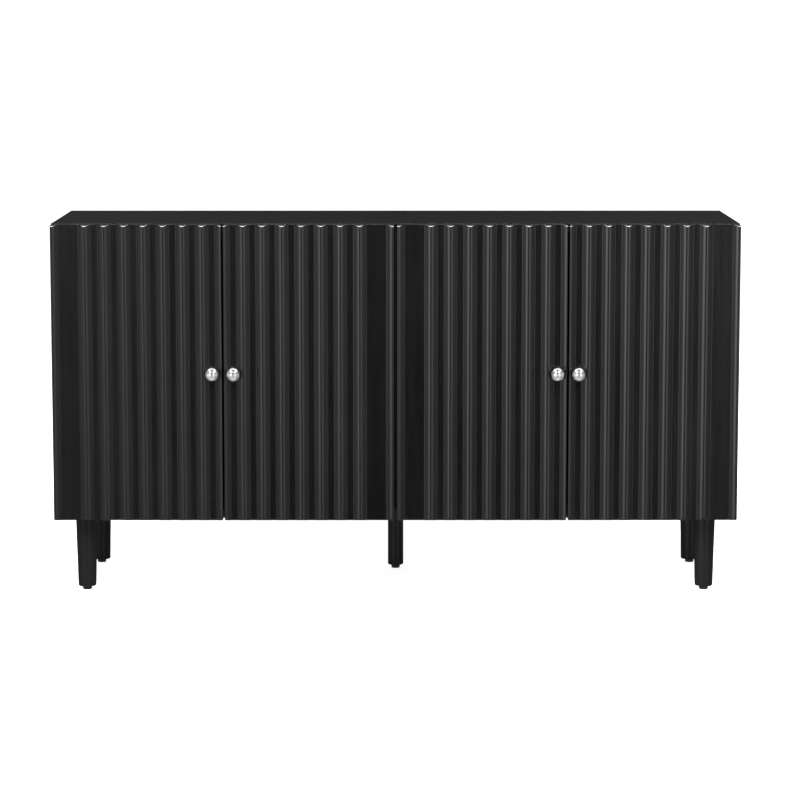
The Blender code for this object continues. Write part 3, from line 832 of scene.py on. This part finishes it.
def shelf_pins():
    """Nickel pins with a collar and a slimmer head that the shelf rests on."""
    for name in ("left_outer", "left_inner", "right_inner", "right_outer"):
        inward = -1 if name in ("left_outer", "right_inner") else 1
        for row in ("front", "rear"):
            node = f"{name}_{row}_shelf_pin"
            low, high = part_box(node)
            length, middle = high.x - low.x, (low + high) / 2
            head = (high.z - low.z) / 2
            shank_end, collar, collar_end, flat = PIN_SHOULDERS
            tip = head * PIN_TIP
            profile = rounded(
                [
                    (0, 0),
                    (PIN_RADIUS, 0),
                    (PIN_RADIUS, -shank_end),
                    (head, -collar),
                    (head, -collar_end),
                    (tip, -flat),
                    (tip, -length),
                    (0, -length),
                ],
                0.0004,
            )
            start = (high.x if inward > 0 else low.x, middle.y, middle.z)
            mesh = moved(turned(profile, 32), facing(start, (inward, 0, 0)))
            piece(f"{name}_{row}_pin", smoothed(mesh), NICKEL, CARCASS, [node])


def cam_locks():
    """A cast cam with a cross slot in each recess."""
    profile = [
        (0, 0),
        (CAM_RADIUS, 0),
        (CAM_RADIUS, -CAM_COLLAR),
        (CAM_WAIST_RADIUS, -CAM_COLLAR - 0.0005),
        (CAM_WAIST_RADIUS, -CAM_HEIGHT),
        (0, -CAM_HEIGHT),
    ]
    body = turned(rounded(profile, 0.0005), 48)
    cam = smoothed(cut(body, cross_recess(*CAM_SLOT, 0.0)))
    wall_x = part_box("left_side_panel")[1].x
    partition_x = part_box("centre_partition")[0].x
    bottom_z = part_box("bottom_panel")[0].z
    front_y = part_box("bottom_panel")[0].y + CAM_INSET_Y
    rear_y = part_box("bottom_panel")[1].y - CAM_INSET_Y
    high_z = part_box("left_side_panel")[1].z - CAM_SETBACK
    floor_x = wall_x + CAM_SETBACK
    for row, y in (("front", front_y), ("rear", rear_y)):
        seats = {
            "left_side": ((wall_x, y, high_z), (1, 0, 0)),
            "right_side": ((-wall_x, y, high_z), (-1, 0, 0)),
            "partition": ((partition_x, y, high_z), (-1, 0, 0)),
            "bottom_left": ((floor_x, y, bottom_z), (0, 0, -1)),
            "bottom_right": ((-floor_x, y, bottom_z), (0, 0, -1)),
        }
        for name, (mouth, out) in seats.items():
            sunk = Vector(mouth) - Vector(out) * CAM_SINK
            piece(f"{name}_{row}_cam", moved(cam, facing(sunk, out)), ZINC, CARCASS)


def nails():
    """Nail heads round each back panel, over the side panel, the partition and the bottom board."""
    head = turned([(0, 0.0005), (0.0012, 0.00048), (0.0021, 0.0003), (0.0023, 0.0), (0, 0)], 20)
    for node, wall_x in (("left_back_panel", -NAIL_SIDE_X), ("right_back_panel", NAIL_SIDE_X)):
        low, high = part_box(node)
        middle_x = math.copysign(NAIL_MIDDLE_X, wall_x)
        foot_z = low.z + NAIL_RISE
        rise = high.z - NAIL_TOP_GAP - foot_z
        spots = []
        levels = round(rise / NAIL_PITCH)
        for i in range(levels + 1):
            spots += [(x, foot_z + rise * i / levels) for x in (wall_x, middle_x)]
        gaps = round(abs(wall_x - middle_x) / NAIL_PITCH)
        spots += [(wall_x + (middle_x - wall_x) * i / gaps, foot_z) for i in range(1, gaps)]
        heads = [moved(head, facing((x, high.y, z), (0, 1, 0))) for x, z in spots]
        side = node.split("_")[0]
        piece(f"{side}_back_nails", smoothed(joined(heads)), NICKEL, CARCASS)


def bumpers():
    """A soft dome on the board's front edge behind each door's free corners."""
    profile = [(0, 0.0024), (0.0026, 0.0022), (BUMPER_RADIUS, 0.0011), (BUMPER_RADIUS, 0), (0, 0)]
    dome = smoothed(turned(rounded(profile, 0.0006), 32))
    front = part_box("bottom_panel")[0].y
    levels = {"upper": "top_panel", "lower": "bottom_panel"}
    for name, side in DOOR_SIDES.items():
        low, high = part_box(f"{name}_door")
        x = high.x - BUMPER_REACH if side > 0 else low.x + BUMPER_REACH
        for level, board in levels.items():
            board_low, board_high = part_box(board)
            spot = (x, front, (board_low.z + board_high.z) / 2)
            mesh = moved(dome, facing(spot, (0, -1, 0)))
            piece(f"{name}_{level}_bumper", mesh, RUBBER, CARCASS)


# Legs

def legs():
    screw = smoothed(screw_mesh(*LEG_SCREW_HEAD))
    for name in ("front_left", "front_right", "rear_left", "rear_right", "centre"):
        low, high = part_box(f"{name}_leg")
        centre = (low + high) / 2
        top = (high.x - low.x) / 2
        foot = min(top, LEG_FOOT_RADIUS)
        outline = rounded([(0, high.z), (top, high.z), (foot, low.z), (0, low.z)], LEG_EASE, 5)
        profile = []
        for before, after in zip(outline, outline[1:]):
            profile.append(before)
            if before[1] - after[1] > LEG_SIDE_LEAST:
                for i in range(1, LEG_SIDE_STEPS):
                    profile.append(tuple(a + (b - a) * i / LEG_SIDE_STEPS for a, b in zip(before, after)))
        profile.append(outline[-1])
        mesh = moved(turned(profile, 72), Matrix.Translation((centre.x, centre.y, 0)))
        piece(f"{name}_turned_leg", smoothed(mesh), LEG_LACQUER, CARCASS, [f"{name}_leg"])
        glide_low, glide_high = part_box(f"{name}_glide")
        radius = (glide_high.x - glide_low.x) / 2
        pad = low.z - FIT_GAP
        glide = rounded(
            [
                (0, glide_high.z),
                (GLIDE_STEM_RADIUS, glide_high.z),
                (GLIDE_STEM_RADIUS, pad),
                (radius * 0.8, pad),
                (radius, pad * 0.62),
                (radius, 0.0014),
                (radius * 0.88, 0.0),
                (radius * 0.55, 0.0),
                (radius * 0.50, GLIDE_HOLLOW),
                (0, GLIDE_HOLLOW),
            ],
            0.0005,
        )
        mesh = moved(turned(glide, 48), Matrix.Translation((centre.x, centre.y, 0)))
        piece(f"{name}_foot_glide", smoothed(mesh), PLASTIC, CARCASS, [f"{name}_glide"])
        mount = frame["nodes"][f"{name}_leg_mount"]
        dress(mount, NICKEL)
        eased(mount, BOARD_EASE, 2, 50.0, weld=True)
        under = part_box(f"{name}_leg_mount")[1].z - LEG_PLATE_THICKNESS
        heads = []
        for dx in (-LEG_SCREW_REACH, LEG_SCREW_REACH):
            for dy in (-LEG_SCREW_REACH, LEG_SCREW_REACH):
                heads.append(moved(screw, facing((centre.x + dx, centre.y + dy, under), -Z_AXIS)))
        piece(f"{name}_mount_screws", smoothed(joined(heads)), NICKEL, CARCASS)


# Studio

def floor():
    """A pale floor, as a disc of rings, that runs out into plain white far from the object."""
    verts, faces = [(0, 0, 0)], []
    for radius in FLOOR_RINGS:
        for i in range(FLOOR_STEPS):
            angle = 2 * math.pi * i / FLOOR_STEPS
            verts.append((radius * math.cos(angle), radius * math.sin(angle), 0))
    for i in range(FLOOR_STEPS):
        j = (i + 1) % FLOOR_STEPS
        faces.append([0, 1 + i, 1 + j])
        for ring in range(len(FLOOR_RINGS) - 1):
            a, b = 1 + ring * FLOOR_STEPS, 1 + (ring + 1) * FLOOR_STEPS
            faces.append([a + i, b + i, b + j, a + j])
    obj = bpy.data.objects.new("studio_floor", new_mesh("studio_floor", verts, faces))
    bpy.context.scene.collection.objects.link(obj)
    finish = Finish("pale_floor", specular=0.1)
    grain = finish.noise(40.0, 4.0)
    tone = finish.mixed(finish.span(grain, 0.0, 1.0), (0.80, 0.80, 0.80), (0.84, 0.84, 0.84))
    distance = finish.tree.nodes.new("ShaderNodeVectorMath")
    distance.operation = "LENGTH"
    finish.feed(distance.inputs[0], finish.coords)
    glow = finish.span(distance.outputs["Value"], FLOOR_GLOW, 1.0, FLOOR_GLOW_START, FLOOR_GLOW_FULL)
    finish.shader.inputs["Emission Color"].default_value = (1.0, 1.0, 1.0, 1.0)
    finish.feed(finish.shader.inputs["Emission Strength"], glow)
    finish.done(tone, 0.7, grain, 0.00002)
    obj.data.materials.append(finish.material)
    obj.visible_glossy = False
    obj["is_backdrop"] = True


def softbox(name, location, target, size, power, spread=180):
    data = bpy.data.lights.new(name, "AREA")
    data.spread = math.radians(spread)
    data.shape = "RECTANGLE"
    data.size, data.size_y = size
    data.energy = power
    obj = bpy.data.objects.new(name, data)
    obj.location = location
    obj.rotation_euler = (Vector(target) - Vector(location)).to_track_quat("-Z", "Y").to_euler()
    obj.visible_camera = False
    bpy.context.scene.collection.objects.link(obj)
    return obj


def world():
    """A pale studio: bright to both sides, dark behind the camera, and white where the camera looks past."""
    made = bpy.data.worlds.new("studio")
    made.use_nodes = True
    nodes, links = made.node_tree.nodes, made.node_tree.links
    nodes.clear()

    def maths(operation, a, b):
        node = nodes.new("ShaderNodeMath")
        node.operation = operation
        for socket, value in zip(node.inputs, (a, b)):
            if isinstance(value, bpy.types.NodeSocket):
                links.new(value, socket)
            else:
                socket.default_value = value
        return node.outputs[0]

    out = nodes.new("ShaderNodeOutputWorld")
    mix = nodes.new("ShaderNodeMixShader")
    path = nodes.new("ShaderNodeLightPath")
    room, white = nodes.new("ShaderNodeBackground"), nodes.new("ShaderNodeBackground")
    for shader in (room, white):
        shader.inputs["Color"].default_value = (1, 1, 1, 1)
    where = nodes.new("ShaderNodeTexCoord")
    split = nodes.new("ShaderNodeSeparateXYZ")
    links.new(where.outputs["Generated"], split.inputs[0])
    ahead = maths("MULTIPLY", split.outputs["Y"], -1.0)
    turn = maths("ARCTAN2", split.outputs["X"], ahead)
    place = maths("MULTIPLY_ADD", turn, 0.5 / math.pi)
    place.node.inputs[2].default_value = 0.5

    def ramp(factor, levels, start, span):
        node = nodes.new("ShaderNodeValToRGB")
        links.new(factor, node.inputs[0])
        stops = node.color_ramp.elements
        while len(stops) < len(levels):
            stops.new(0.5)
        for stop, (at, level) in zip(stops, levels):
            stop.position = (at - start) / span
            stop.color = (level, level, level, 1)
        return node.outputs["Color"]

    height = maths("MULTIPLY_ADD", split.outputs["Z"], 0.5)
    height.node.inputs[2].default_value = 0.5
    around = ramp(place, ROOM_LIGHT, -180, 360)
    tall = maths("MULTIPLY", around, ramp(height, ROOM_HEIGHT, -1, 2))
    links.new(maths("MAXIMUM", tall, ramp(height, ROOM_CEILING, -1, 2)), room.inputs["Strength"])
    links.new(path.outputs["Is Camera Ray"], mix.inputs[0])
    links.new(room.outputs[0], mix.inputs[1])
    links.new(white.outputs[0], mix.inputs[2])
    links.new(mix.outputs[0], out.inputs["Surface"])
    bpy.context.scene.world = made


def keep_off(light, suffix):
    """Keeps a light off the pieces whose names end in the suffix."""
    spared = bpy.data.collections.new(f"{light.name}_spares")
    for obj in list(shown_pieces()):
        if obj.name.endswith(suffix):
            spared.objects.link(obj)
    light.light_linking.receiver_collection = spared
    for entry in spared.collection_objects:
        entry.light_linking.link_state = "EXCLUDE"


def studio():
    floor()
    world()
    right_doors, middle, low = (0.95, -0.18, 0.55), (0, -0.2, 0.5), (0, 0, 0.5)
    softbox("softbox_left", (-1.4, -3.0, 0.6), right_doors, (1.8, 3.0), LEFT_POWER, NARROW_SPREAD)
    softbox("softbox_right", (1.95, -3.0, 0.6), (0.9, -0.18, 0.55), (1.1, 3.0), RIGHT_POWER, NARROW_SPREAD)
    overhead = softbox("softbox_overhead", (0, -1.7, 2.6), (0, -0.2, 0.6), (3.4, 1.6), OVERHEAD_POWER)
    keep_off(overhead, "_ball_knob")
    for side, name in ((-1, "left"), (1, "right")):
        softbox(f"softbox_high_{name}", (side * 2.0, -2.6, 3.6), middle, (1.3, 1.3), HIGH_POWER)
        softbox(f"softbox_rear_{name}", (side * 3.2, 2.8, 0.45), low, (2.2, 0.7), REAR_POWER)
    bpy.context.scene.view_settings.view_transform = "Standard"


def camera():
    data = bpy.data.cameras.new("view")
    data.lens = CAMERA_LENS
    data.sensor_width = CAMERA_SENSOR
    data.shift_y = CAMERA_SHIFT
    data.clip_end = CAMERA_REACH
    obj = bpy.data.objects.new("view", data)
    obj.location = CAMERA_PLACE
    obj.rotation_euler = (math.radians(90 - CAMERA_PITCH), 0, math.radians(CAMERA_YAW))
    bpy.context.scene.collection.objects.link(obj)
    bpy.context.scene.camera = obj


doors()
hinge_arms()
carcass()
shelf_pins()
cam_locks()
nails()
bumpers()
legs()
studio()
camera()

bpy.context.view_layer.update()
